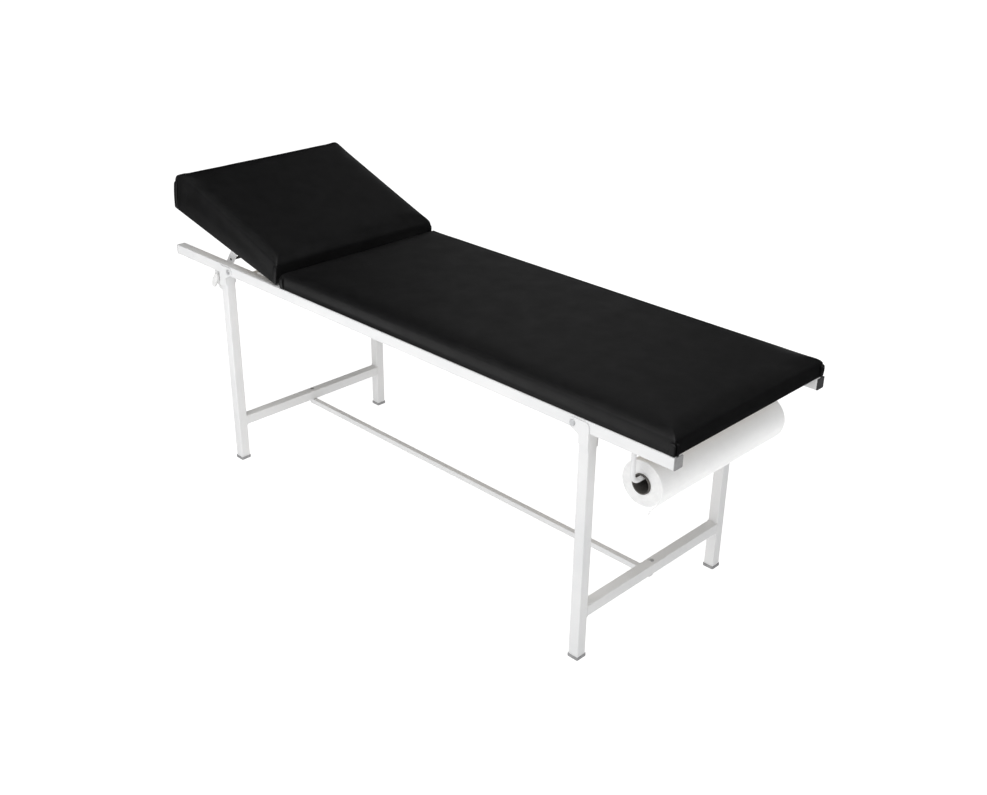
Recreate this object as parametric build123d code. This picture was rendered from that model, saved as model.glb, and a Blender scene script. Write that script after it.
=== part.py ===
from build123d import *
import os

# Medical examination table: a padded top on two side rails, a hinged wedge-shaped headrest held by
# sliding struts, two leg frames that fold inward under the rails, a stretcher between the leg frames
# and a paper roll hung across the foot end.
# Millimetres. +X runs to the foot end, -Y is the near side, +Z is up and the feet stand on Z = 0.

# --- Driving dimensions -------------------------------------------------------------------------

SIDES = (("near", -1), ("far", 1))
ENDS = (("head", -1), ("foot", 1))

table_width = 600.0
rail_end_x = 958.0
rail_bottom_z = 630.0
frame_tube = 30.0
frame_wall = 1.5
frame_corner = 2.5
rail_top_z = rail_bottom_z + frame_tube
rail_y = table_width / 2 - frame_tube / 2
rail_inner_y = table_width / 2 - frame_tube

cap_plate = 2.0
cap_plug_depth = 16.0
cap_plug_clearance = 0.1

cross_tube = 20.0
cross_tube_top_z = 655.0
cross_tube_x = {"headrest": -600.0, "hinge": -395.0, "middle": 170.0, "foot": 905.0}

board_thickness = 12.0
board_inset = 14.0
cushion_lift = 0.3
mattress_head_x = -430.0
mattress_top_z = 709.0
mattress_round = 14.0
mattress_corner = 10.0

hinge_x = -440.0
hinge_z = 657.0
headrest_tilt = 13.0
headrest_under = 5.0
headrest_gap = 8.0
headrest_length = 520.0
headrest_hinge_height = 72.0
headrest_head_height = 133.0
headrest_undercut = 4.0
headrest_round = 12.0
headrest_nose_round = 40.0

hinge_y = 190.0
hinge_width = 60.0
hinge_leaf = 2.0
hinge_leaf_length = 36.0
hinge_knuckle_radius = 4.6
hinge_pin_radius = 2.5
running_clearance = 0.05
knuckle_gap = 0.4

strut_pivot_reach = 260.0
strut_pivot_drop = 14.0
strut_lean = 34.5
strut_width = 26.0
strut_thickness = 4.0
strut_length = 177.0
strut_slot_start = 84.0
strut_slot_width = 9.0
strut_y = 257.0
strut_pin_radius = 4.0
strut_rod_distance = 55.0
strut_rod_radius = 4.0
lug_thickness = 3.0
lug_width = 24.0
lug_gap = 1.0

clamp_distance = 141.0
clamp_plate_y = 276.0
clamp_plate_thickness = 4.0
clamp_plate_width = 34.0
clamp_plate_drop = 56.0
clamp_stud_radius = 4.0
clamp_pad_radius = 9.0
clamp_pad_thickness = 3.0
clamp_pad_gap = 1.0
knob_boss_radius = 11.0
knob_boss_length = 15.0
knob_wing_reach = 17.0
knob_wing_width = 20.0
knob_wing_thickness = 8.0
knob_lean = 32.0
knob_boss_round = 3.0
knob_wing_round = 2.5
knob_wing_setback = 1.0
knob_gap = 0.6

leg_x = 711.0
leg_foot_z = 4.0
crossbar_top_z = 148.0
pivot_inset = 33.0
pivot_z = 644.0
pivot_bolt_radius = 4.0
pivot_sleeve_radius = 7.0
pivot_lobe_radius = 13.0
pivot_lobe_slant = (7.8, 10.4)
hinge_plate = 3.0
hinge_plate_gap = 0.2
hinge_plate_bottom_z = 588.0
hinge_plate_slant = 10.0
hinge_plate_shoulder = 12.0
bolt_head_radius = 7.5
bolt_head_height = 3.0
bolt_nut_height = 4.5
bolt_edge = 1.0

foot_cap_size = 34.0
foot_cap_height = 9.0
foot_cap_edge = 1.5

stretcher_tube = 16.5
stretcher_gap = 0.5
stretcher_overhang = 2.0
stretcher_bolt_radius = 3.0
stretcher_bolt_head_radius = 6.0
stretcher_bolt_head_height = 2.5

roll_x = 842.0
roll_z = 531.0
roll_radius = 57.5
roll_width = 500.0
core_outer_radius = 25.0
core_wall = 2.5
core_width = 506.0
core_paper_gap = 0.1
rod_radius = 6.0
rod_bend = 22.0
rod_core_gap = 0.3
rod_insertion = 24.0
socket_radius = 8.5

os.makedirs("parts", exist_ok=True)


# --- Helpers ------------------------------------------------------------------------------------

def save(shape, node):
    """Write one sub-part to its own file."""
    export_step(shape, f"parts/{node}.step")


def y_cylinder(radius, length, x, y, z):
    """A cylinder along Y, centred on a point."""
    return Pos(x, y, z) * Rot(90, 0, 0) * Cylinder(radius, length)


def z_cylinder(radius, bottom_z, top_z, x, y):
    """An upright cylinder between two heights."""
    return Pos(x, y, (bottom_z + top_z) / 2) * Cylinder(radius, top_z - bottom_z)


def slab(x_range, y_range, z_range):
    """A block between pairs of limits."""
    spans = [high - low for low, high in (x_range, y_range, z_range)]
    centre = [(low + high) / 2 for low, high in (x_range, y_range, z_range)]
    return Pos(*centre) * Box(*spans)


def side_plate(outline, thickness, y):
    """A flat plate cut to an outline in the XZ plane, centred on y."""
    plate = extrude(Plane.XZ * outline, amount=thickness / 2, both=True)
    return Pos(0, y, 0) * plate


def square_tube(size, wall, length, corner, axis):
    """A hollow square tube along one axis, centred on the origin, with rounded long edges."""
    outer = Box(size, size, length)
    outer = fillet(outer.edges().filter_by(Axis.Z), corner)
    bore = Box(size - 2 * wall, size - 2 * wall, length)
    turn = {"X": Rot(0, 90, 0), "Y": Rot(90, 0, 0), "Z": Rot(0, 0, 0)}[axis]
    return turn * (outer - bore)


def hinge_place(shape):
    """Move a shape from the headrest's own frame, flat about its hinge line, to its tilted place."""
    return Pos(hinge_x, 0, hinge_z) * Rot(0, headrest_tilt, 0) * shape


def strut_pivot():
    """The strut's pivot point, carried by the tilted headrest."""
    drop = headrest_under - strut_pivot_drop
    return hinge_place(Pos(-strut_pivot_reach, 0, drop)).position


def along_strut(distance):
    """A point on the strut's centre line, measured from its pivot."""
    pivot = strut_pivot()
    direction = Vector(-1, 0, 0).rotate(Axis.Y, strut_lean - 90)
    return pivot + direction * distance


# --- Main frame ---------------------------------------------------------------------------------

def side_rail(sign):
    """A side rail with pivot sleeves welded in for the legs and a socket for the roll holder."""
    y = sign * rail_y
    mid_z = rail_bottom_z + frame_tube / 2
    tube = square_tube(frame_tube, frame_wall, 2 * rail_end_x, frame_corner, "X")
    rail = Pos(0, y, mid_z) * tube
    for _, end in ENDS:
        pivot_x = end * (leg_x - pivot_inset)
        rail += y_cylinder(pivot_sleeve_radius, frame_tube, pivot_x, y, pivot_z)
        rail -= y_cylinder(pivot_bolt_radius + running_clearance, frame_tube, pivot_x, y, pivot_z)
    socket_top_z = rail_bottom_z + rod_insertion
    rail += z_cylinder(socket_radius, rail_bottom_z, socket_top_z + frame_wall, roll_x, y)
    rail -= z_cylinder(rod_radius + running_clearance, rail_bottom_z, socket_top_z, roll_x, y)
    return rail


def rail_cap(end, sign):
    """A plastic end cap: a square plate with a plug pressed into the rail."""
    y = sign * rail_y
    mid_z = rail_bottom_z + frame_tube / 2
    plate_x = sorted((end * rail_end_x, end * (rail_end_x + cap_plate)))
    half = frame_tube / 2
    plate = slab(plate_x, (y - half, y + half), (mid_z - half, mid_z + half))
    plate = fillet(plate.edges().filter_by(Axis.X), frame_corner)
    plug_half = half - frame_wall - cap_plug_clearance
    plug_x = sorted((end * rail_end_x, end * (rail_end_x - cap_plug_depth)))
    plug = slab(plug_x, (y - plug_half, y + plug_half), (mid_z - plug_half, mid_z + plug_half))
    return plate + plug


def cross_member(x):
    """A square tube between the two side rails."""
    tube = square_tube(cross_tube, frame_wall, 2 * rail_inner_y, frame_corner / 2, "Y")
    return Pos(x, 0, cross_tube_top_z - cross_tube / 2) * tube


def build_frame():
    for side, sign in SIDES:
        save(side_rail(sign), f"side_rail_{side}")
        for end_name, end in ENDS:
            save(rail_cap(end, sign), f"rail_cap_{end_name}_{side}")
    for place, x in cross_tube_x.items():
        save(cross_member(x), f"cross_tube_{place}")


# --- Padded top ---------------------------------------------------------------------------------

def mattress_board():
    """The plywood board that rests on the rails, inside the upholstery's lower edge."""
    half_y = table_width / 2 - board_inset
    x_range = (mattress_head_x + board_inset, rail_end_x - board_inset)
    return slab(x_range, (-half_y, half_y), (rail_top_z, rail_top_z + board_thickness))


def mattress():
    """The upholstered pad, rounded on top, with a pocket for its board."""
    half_y = table_width / 2
    z_range = (rail_top_z + cushion_lift, mattress_top_z)
    pad = slab((mattress_head_x, rail_end_x), (-half_y, half_y), z_range)
    pad = fillet(pad.edges().filter_by(Axis.Z), mattress_corner)
    pad = fillet(pad.faces().sort_by(Axis.Z)[-1].edges(), mattress_round)
    return pad - mattress_board()


def headrest_board_flat():
    """The headrest's board in the headrest's own frame."""
    half_y = table_width / 2 - board_inset
    x_range = (-headrest_gap - headrest_length + board_inset, -headrest_gap - board_inset)
    return slab(x_range, (-half_y, half_y), (headrest_under, headrest_under + board_thickness))


def headrest_cushion_flat():
    """The wedge cushion in the headrest's own frame, thicker at the head end."""
    hinge_side = -headrest_gap
    head_side = hinge_side - headrest_length
    bottom = headrest_under + cushion_lift
    profile = Polyline(
        (hinge_side, bottom),
        (hinge_side - headrest_undercut, headrest_under + headrest_hinge_height),
        (head_side - headrest_undercut, headrest_under + headrest_head_height),
        (head_side, bottom),
        close=True,
    )
    wedge = extrude(Plane.XZ * make_face(profile), amount=table_width / 2, both=True)
    nose = wedge.edges().filter_by(Axis.Y).sort_by(Axis.Z)[-1]
    wedge = fillet(nose, headrest_nose_round)
    rim = wedge.edges().filter_by(lambda edge: edge.center().Z > bottom + cushion_lift)
    wedge = fillet(rim, headrest_round)
    return wedge - headrest_board_flat()


def build_padding():
    save(mattress_board(), "mattress_board")
    save(mattress(), "mattress")
    save(hinge_place(headrest_board_flat()), "headrest_board")
    save(hinge_place(headrest_cushion_flat()), "headrest_cushion")


# --- Headrest hinges ----------------------------------------------------------------------------

def knuckle(y, width):
    """One hinge knuckle about the hinge line, in the headrest's own frame."""
    barrel = y_cylinder(hinge_knuckle_radius, width, 0, y, 0)
    return barrel - y_cylinder(hinge_pin_radius + running_clearance, width, 0, y, 0)


def hinge_fixed(sign):
    """The leaf under the mattress board, with the two outer knuckles."""
    y = sign * hinge_y
    third = hinge_width / 3
    leaf_top = rail_top_z - hinge_z
    leaf = slab((0, hinge_leaf_length), (y - hinge_width / 2, y + hinge_width / 2),
                (leaf_top - hinge_leaf, leaf_top))
    leaf -= y_cylinder(hinge_knuckle_radius + knuckle_gap, third, 0, y, 0)
    leaf -= y_cylinder(hinge_pin_radius + running_clearance, hinge_width, 0, y, 0)
    for offset in (-third, third):
        leaf += knuckle(y + offset, third)
    return Pos(hinge_x, 0, hinge_z) * leaf


def hinge_moving(sign):
    """The leaf under the headrest board, with the middle knuckle."""
    y = sign * hinge_y
    middle = hinge_width / 3 - 2 * knuckle_gap
    half = hinge_width / 2
    leaf = slab((-hinge_leaf_length, -hinge_knuckle_radius - knuckle_gap), (y - half, y + half),
                (headrest_under - hinge_leaf, headrest_under))
    tongue = slab((-hinge_knuckle_radius - 2 * knuckle_gap, 0), (y - middle / 2, y + middle / 2),
                  (hinge_knuckle_radius - hinge_leaf, hinge_knuckle_radius))
    barrel = knuckle(y, middle)
    return hinge_place(leaf + (tongue + barrel))


def hinge_pin(sign):
    """The pin through one hinge's knuckles."""
    return y_cylinder(hinge_pin_radius, hinge_width, hinge_x, sign * hinge_y, hinge_z)


def build_hinges():
    for side, sign in SIDES:
        save(hinge_fixed(sign), f"hinge_leaf_fixed_{side}")
        save(hinge_moving(sign), f"hinge_leaf_moving_{side}")
        save(hinge_pin(sign), f"hinge_pin_{side}")


# --- Headrest struts and clamps -----------------------------------------------------------------

def strut(sign):
    """A slotted flat bar from the headrest's lug down past the clamp."""
    outline = Pos(strut_length / 2, 0) * SlotCenterToCenter(strut_length, strut_width)
    slot_span = strut_length - strut_slot_start
    slot_middle = (strut_slot_start + strut_length) / 2
    outline -= Pos(slot_middle, 0) * SlotCenterToCenter(slot_span, strut_slot_width)
    outline -= Circle(strut_pin_radius + running_clearance)
    outline -= Pos(strut_rod_distance, 0) * Circle(strut_rod_radius)
    bar = side_plate(outline, strut_thickness, sign * strut_y)
    return Pos(*strut_pivot()) * Rot(0, 90 + strut_lean, 0) * bar


def strut_rod():
    """The round bar that ties the two struts together."""
    place = along_strut(strut_rod_distance)
    return y_cylinder(strut_rod_radius, 2 * strut_y + strut_thickness, place.X, 0, place.Z)


def strut_lug(sign):
    """A lug welded to a foot under the headrest board, with the strut's pivot stud."""
    lug_y = sign * (strut_y + strut_thickness / 2 + lug_gap + lug_thickness / 2)
    pivot_z_flat = headrest_under - strut_pivot_drop
    half = lug_width / 2
    outline = Pos(0, strut_pivot_drop / 2) * Rectangle(lug_width, strut_pivot_drop) + Circle(half)
    cheek = side_plate(outline, lug_thickness, lug_y)
    stud_length = lug_thickness + lug_gap + strut_thickness + lug_gap
    stud_y = sign * (abs(lug_y) + lug_thickness / 2 - stud_length / 2)
    stud = y_cylinder(strut_pin_radius, stud_length, 0, stud_y, 0)
    head_y = sign * (abs(stud_y) - stud_length / 2 - lug_gap / 2)
    head = y_cylinder(strut_pin_radius + lug_gap, lug_gap, 0, head_y, 0)
    return hinge_place(Pos(-strut_pivot_reach, 0, pivot_z_flat) * (cheek + stud + head))


def clamp_plate(sign):
    """The plate under a rail that carries the clamp screw."""
    place = along_strut(clamp_distance)
    half = clamp_plate_width / 2
    low_z = rail_bottom_z - clamp_plate_drop
    outline = slab((place.X - half, place.X + half), (-clamp_plate_thickness / 2, clamp_plate_thickness / 2),
                   (low_z, rail_bottom_z))
    outline = fillet(outline.edges().filter_by(Axis.Y).sort_by(Axis.Z)[:2], half / 2)
    plate = Pos(0, sign * clamp_plate_y, 0) * outline
    return plate - y_cylinder(clamp_stud_radius + running_clearance, table_width, place.X, 0, place.Z)


def clamp_stud(sign):
    """The clamp screw with its pressure pad, which stops just short of the strut."""
    place = along_strut(clamp_distance)
    pad_face = strut_y + strut_thickness / 2 + clamp_pad_gap
    pad = y_cylinder(clamp_pad_radius, clamp_pad_thickness, place.X,
                     sign * (pad_face + clamp_pad_thickness / 2), place.Z)
    knob_face = clamp_plate_y + clamp_plate_thickness / 2 + knob_gap
    screw_start = pad_face + clamp_pad_thickness
    screw = y_cylinder(clamp_stud_radius, knob_face - screw_start, place.X,
                       sign * (knob_face + screw_start) / 2, place.Z)
    return pad + screw


def wing_knob(sign):
    """A plastic wing knob: a round boss with two rounded wings."""
    place = along_strut(clamp_distance)
    boss = Cylinder(knob_boss_radius, knob_boss_length)
    boss = fillet(boss.faces().sort_by(Axis.Z)[-1].edges(), knob_boss_round)
    outline = SlotCenterToCenter(2 * knob_wing_reach, knob_wing_width)
    wings = extrude(outline, knob_wing_thickness / 2, both=True)
    wings = fillet(wings.edges(), knob_wing_round)
    wings = Pos(0, 0, (knob_boss_length - knob_wing_thickness) / 2 - knob_wing_setback) * wings
    inner_face = clamp_plate_y + clamp_plate_thickness / 2 + knob_gap
    knob = Rot(0, 0, 90 - knob_lean) * (boss + wings)
    turn = Rot(90, 0, 0) if sign < 0 else Rot(-90, 0, 0)
    return Pos(place.X, sign * (inner_face + knob_boss_length / 2), place.Z) * turn * knob


def build_struts():
    save(strut_rod(), "strut_rod")
    for side, sign in SIDES:
        save(strut(sign), f"strut_{side}")
        save(strut_lug(sign), f"strut_lug_{side}")
        save(clamp_plate(sign), f"clamp_plate_{side}")
        save(clamp_stud(sign), f"clamp_stud_{side}")
        save(wing_knob(sign), f"wing_knob_{side}")


# --- Leg frames ---------------------------------------------------------------------------------

def leg(end, sign):
    """A square tube leg from the foot cap's floor to the rail's underside."""
    length = rail_bottom_z - leg_foot_z
    tube = square_tube(frame_tube, frame_wall, length, frame_corner, "Z")
    return Pos(end * leg_x, sign * rail_y, leg_foot_z + length / 2) * tube


def foot_cap(end, sign):
    """A square plastic shoe over the leg's lower end."""
    half = foot_cap_size / 2
    shoe = slab((-half, half), (-half, half), (0, foot_cap_height))
    shoe = fillet(shoe.edges().filter_by(Axis.Z), frame_corner + foot_cap_edge)
    shoe = chamfer(shoe.faces().sort_by(Axis.Z)[0].edges(), foot_cap_edge)
    pocket = slab((-frame_tube / 2, frame_tube / 2), (-frame_tube / 2, frame_tube / 2),
                  (leg_foot_z, foot_cap_height))
    pocket = fillet(pocket.edges().filter_by(Axis.Z), frame_corner)
    return Pos(end * leg_x, sign * rail_y, 0) * (shoe - pocket)


def crossbar(end):
    """The square tube between the two legs of a frame."""
    tube = square_tube(frame_tube, frame_wall, 2 * rail_inner_y, frame_corner, "Y")
    bar = Pos(end * leg_x, 0, crossbar_top_z - frame_tube / 2) * tube
    return bar - z_cylinder(stretcher_bolt_radius, 0, rail_bottom_z, end * leg_x, 0)


def pivot_plate(end, sign, inner):
    """A flat plate on the leg's side that reaches up past the rail to the folding pivot."""
    outer_x = leg_x + frame_tube / 2
    inner_x = leg_x - frame_tube / 2
    pivot_x = leg_x - pivot_inset
    lobe_top = pivot_z + pivot_lobe_radius
    profile = Polyline(
        (pivot_x, lobe_top),
        (outer_x, lobe_top),
        (outer_x, hinge_plate_bottom_z),
        (inner_x, hinge_plate_bottom_z + hinge_plate_slant),
        (inner_x, rail_bottom_z - hinge_plate_slant),
        (pivot_x - pivot_lobe_slant[0], pivot_z - pivot_lobe_slant[1]),
        close=True,
    )
    blade = make_face(profile)
    shoulder = blade.vertices().group_by(Axis.Y)[-1].sort_by(Axis.X)[-1]
    blade = fillet(shoulder, hinge_plate_shoulder)
    blade += Pos(pivot_x, pivot_z) * Circle(pivot_lobe_radius)
    blade -= Pos(pivot_x, pivot_z) * Circle(pivot_bolt_radius)
    middle_y = table_width / 2 + hinge_plate_gap + hinge_plate / 2
    if inner:
        middle_y = rail_inner_y - hinge_plate_gap - hinge_plate / 2
    plate = side_plate(blade, hinge_plate, sign * middle_y)
    return plate if end > 0 else mirror(plate, Plane.YZ)


def pivot_bolt(end, sign):
    """The bolt, with its head outside and its nut inside, that the leg folds about."""
    x = end * (leg_x - pivot_inset)
    outer_y = table_width / 2 + hinge_plate_gap + hinge_plate
    inner_y = rail_inner_y - hinge_plate_gap - hinge_plate
    shank = y_cylinder(pivot_bolt_radius, outer_y - inner_y, x, sign * (outer_y + inner_y) / 2, pivot_z)
    head = Cylinder(bolt_head_radius, bolt_head_height)
    head = fillet(head.faces().sort_by(Axis.Z)[-1].edges(), bolt_edge)
    turn = Rot(90, 0, 0) if sign < 0 else Rot(-90, 0, 0)
    head = Pos(x, sign * (outer_y + bolt_head_height / 2), pivot_z) * turn * head
    nut = extrude(RegularPolygon(bolt_head_radius, 6), bolt_nut_height / 2, both=True)
    nut = Pos(x, sign * (inner_y - bolt_nut_height / 2), pivot_z) * Rot(90, 0, 0) * nut
    return shank + head + nut


def stretcher_bolt(end):
    """The upright bolt through the crossbar, which ends flush with the crossbar's underside."""
    x = end * leg_x
    bottom_z = crossbar_top_z - frame_tube
    shank = z_cylinder(stretcher_bolt_radius, bottom_z, crossbar_top_z, x, 0)
    head_top_z = crossbar_top_z + stretcher_bolt_head_height
    head = z_cylinder(stretcher_bolt_head_radius, crossbar_top_z, head_top_z, x, 0)
    head = fillet(head.faces().sort_by(Axis.Z)[-1].edges(), bolt_edge)
    return shank + head


def build_leg_frames():
    for end_name, end in ENDS:
        save(crossbar(end), f"crossbar_{end_name}")
        save(stretcher_bolt(end), f"stretcher_bolt_{end_name}")
        for side, sign in SIDES:
            save(leg(end, sign), f"leg_{end_name}_{side}")
            save(foot_cap(end, sign), f"foot_cap_{end_name}_{side}")
            save(pivot_plate(end, sign, inner=False), f"pivot_plate_outer_{end_name}_{side}")
            save(pivot_plate(end, sign, inner=True), f"pivot_plate_inner_{end_name}_{side}")
            save(pivot_bolt(end, sign), f"pivot_bolt_{end_name}_{side}")


# --- Stretcher ----------------------------------------------------------------------------------

def stretcher():
    """The long tube under the two crossbars."""
    half_length = leg_x + stretcher_overhang
    tube = square_tube(stretcher_tube, frame_wall, 2 * half_length, frame_corner / 2, "X")
    top_z = crossbar_top_z - frame_tube - stretcher_gap
    return Pos(0, 0, top_z - stretcher_tube / 2) * tube


# --- Paper roll and its holder ------------------------------------------------------------------

def roll_holder():
    """The U-shaped rod whose two ends push up into the rails."""
    rod_z = roll_z + core_outer_radius - core_wall - rod_radius - rod_core_gap
    top_z = rail_bottom_z + rod_insertion
    near_end = (roll_x, -rail_y, top_z)
    near_bend = (roll_x, -rail_y, rod_z)
    far_bend = (roll_x, rail_y, rod_z)
    far_end = (roll_x, rail_y, top_z)
    path = FilletPolyline(near_end, near_bend, far_bend, far_end, radius=rod_bend)
    section = Plane(origin=near_end, z_dir=(0, 0, -1)) * Circle(rod_radius)
    return sweep(section, path=path)


def roll_core():
    """The cardboard tube that hangs on the rod."""
    core = y_cylinder(core_outer_radius, core_width, roll_x, 0, roll_z)
    return core - y_cylinder(core_outer_radius - core_wall, core_width, roll_x, 0, roll_z)


def paper_roll():
    """The wound paper."""
    paper = y_cylinder(roll_radius, roll_width, roll_x, 0, roll_z)
    return paper - y_cylinder(core_outer_radius + core_paper_gap, roll_width, roll_x, 0, roll_z)


def build_roll():
    save(roll_holder(), "roll_holder")
    save(roll_core(), "roll_core")
    save(paper_roll(), "paper_roll")


build_frame()
build_padding()
build_hinges()
build_struts()
build_leg_frames()
save(stretcher(), "stretcher")
build_roll()
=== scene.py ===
import math
import random

import bmesh
import bpy
from mathutils import Matrix, Vector, noise


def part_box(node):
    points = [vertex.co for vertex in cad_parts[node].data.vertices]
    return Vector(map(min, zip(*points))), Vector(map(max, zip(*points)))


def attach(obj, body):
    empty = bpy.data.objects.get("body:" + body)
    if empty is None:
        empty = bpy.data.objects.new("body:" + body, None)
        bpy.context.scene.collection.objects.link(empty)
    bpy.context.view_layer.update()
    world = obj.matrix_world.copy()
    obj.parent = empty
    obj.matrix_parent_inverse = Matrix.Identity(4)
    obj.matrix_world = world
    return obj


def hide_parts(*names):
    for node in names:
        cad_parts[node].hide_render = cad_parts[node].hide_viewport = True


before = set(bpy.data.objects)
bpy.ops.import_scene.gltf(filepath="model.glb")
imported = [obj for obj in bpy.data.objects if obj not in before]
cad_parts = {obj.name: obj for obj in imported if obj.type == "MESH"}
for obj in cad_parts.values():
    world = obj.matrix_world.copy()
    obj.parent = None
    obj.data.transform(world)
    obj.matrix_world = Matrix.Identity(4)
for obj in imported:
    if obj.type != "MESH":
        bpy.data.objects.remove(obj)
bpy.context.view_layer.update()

# Medical exam table. Metres, in the frame of the CAD part: +X is the foot end, -Y the near side.
MM = 0.001
SIDES = (("near", -1), ("far", 1))
ENDS = (("head", -1), ("foot", 1))
dice = random.Random(7)

HEADREST_TILT = math.radians(13)

RAIL_INNER = -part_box("side_rail_near")[1][1]


# --- Camera, lights and floor --------------------------------------------------------------------

CAMERA_PLACE = Vector((2.2136, -2.1345, 1.8606))
CAMERA_HEADING = math.radians(-44.267)
CAMERA_PITCH = math.radians(-25.903)
CAMERA_ROLL = math.radians(0.839)
CAMERA_LENS = 43.357


def make_camera():
    """A camera at the picture's place, turned by heading, pitch and roll."""
    data = bpy.data.cameras.new("camera")
    data.lens = CAMERA_LENS
    data.sensor_width = 36
    camera = bpy.data.objects.new("camera", data)
    bpy.context.scene.collection.objects.link(camera)
    ahead = Vector((math.sin(CAMERA_HEADING) * math.cos(CAMERA_PITCH),
                    math.cos(CAMERA_HEADING) * math.cos(CAMERA_PITCH),
                    math.sin(CAMERA_PITCH)))
    right = ahead.cross(Vector((0, 0, 1))).normalized()
    up = right.cross(ahead)
    x_axis = right * math.cos(CAMERA_ROLL) + up * math.sin(CAMERA_ROLL)
    y_axis = up * math.cos(CAMERA_ROLL) - right * math.sin(CAMERA_ROLL)
    turn = Matrix((x_axis, y_axis, -ahead)).transposed().to_4x4()
    camera.matrix_world = Matrix.Translation(CAMERA_PLACE) @ turn
    bpy.context.scene.camera = camera


def make_area_light(name, place, target, size, power):
    """A soft rectangular light, of size (width, height), that points at a target."""
    data = bpy.data.lights.new(name, "AREA")
    data.shape = "RECTANGLE"
    data.size, data.size_y = size
    data.energy = power
    light = bpy.data.objects.new(name, data)
    bpy.context.scene.collection.objects.link(light)
    light.location = place
    light.rotation_euler = (Vector(target) - Vector(place)).to_track_quat("-Z", "Y").to_euler()
    light.visible_camera = False


SURROUND_STRENGTH = 0.40

# Name, place, the point it faces, (width, height), watts.
LAMPS = (
    ("key", (-0.3, -3.9, 2.5), (0.1, 0, 0.4), (2.6, 2.6), 40),
    ("low card", (-0.6, -1.3, 0.05), (-0.55, -0.9, 1.0), (2.6, 0.8), 8),
    ("fill", (3.4, -0.9, 1.7), (0.4, 0, 0.4), (2.0, 1.6), 9),
    ("top", (1.1, -1.3, 4.1), (0.1, 0, 0), (2.8, 2.8), 64),
    ("far side", (0.3, 4.2, 0.9), (0, 0, 0.5), (2.6, 1.4), 14),
    ("back", (-3.4, 4.4, 2.9), (0.1, 0, 0.7), (2.4, 2.4), 6),
)


def make_studio():
    """A pale floor, a dim even surround and large soft lights, most of them from the near side."""
    world = bpy.data.worlds.new("surround")
    world.use_nodes = True
    world.node_tree.nodes["Background"].inputs["Color"].default_value = (1, 1, 1, 1)
    world.node_tree.nodes["Background"].inputs["Strength"].default_value = SURROUND_STRENGTH
    bpy.context.scene.world = world
    world.cycles_visibility.glossy = False
    for name, place, target, size, watts in LAMPS:
        make_area_light(name, place, target, size, watts)
    scene = bpy.context.scene
    scene.view_settings.view_transform = "Standard"
    scene.view_settings.exposure = 0.0


FLOOR_RADIUS = 24
FLOOR_GLOW = 0.98
BACKDROP_DEPTH = 6
BACKDROP_RISE = 16
STAGE_SEGMENTS = 96
BACKDROP_STEPS = 16


def stage_ring(radius, height):
    turns = [2 * math.pi * s / STAGE_SEGMENTS for s in range(STAGE_SEGMENTS)]
    return [(radius * math.cos(turn), radius * math.sin(turn), height) for turn in turns]


def make_stage_piece(name, vertices, faces, material):
    mesh = bpy.data.meshes.new(name)
    mesh.from_pydata(vertices, [], faces)
    mesh.materials.append(material)
    piece = bpy.data.objects.new(name, mesh)
    bpy.context.scene.collection.objects.link(piece)
    piece.visible_glossy = False
    return piece


def make_floor(material):
    """A wide round floor under the feet, and a backdrop that curves up behind it on all sides."""
    make_stage_piece("floor", stage_ring(FLOOR_RADIUS, 0), [tuple(range(STAGE_SEGMENTS))], material)
    vertices = []
    for step in range(BACKDROP_STEPS + 1):
        turn = math.pi / 2 * step / BACKDROP_STEPS
        radius = FLOOR_RADIUS + BACKDROP_DEPTH * math.sin(turn)
        vertices += stage_ring(radius, BACKDROP_RISE * (1 - math.cos(turn)))
    faces = []
    for step in range(BACKDROP_STEPS):
        for s in range(STAGE_SEGMENTS):
            t = (s + 1) % STAGE_SEGMENTS
            low, high = step * STAGE_SEGMENTS, (step + 1) * STAGE_SEGMENTS
            faces.append((low + s, low + t, high + t, high + s))
    backdrop = make_stage_piece("backdrop", vertices, faces, material)
    backdrop.visible_diffuse = False
    backdrop.visible_shadow = False


# --- Material helpers ----------------------------------------------------------------------------

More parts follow.
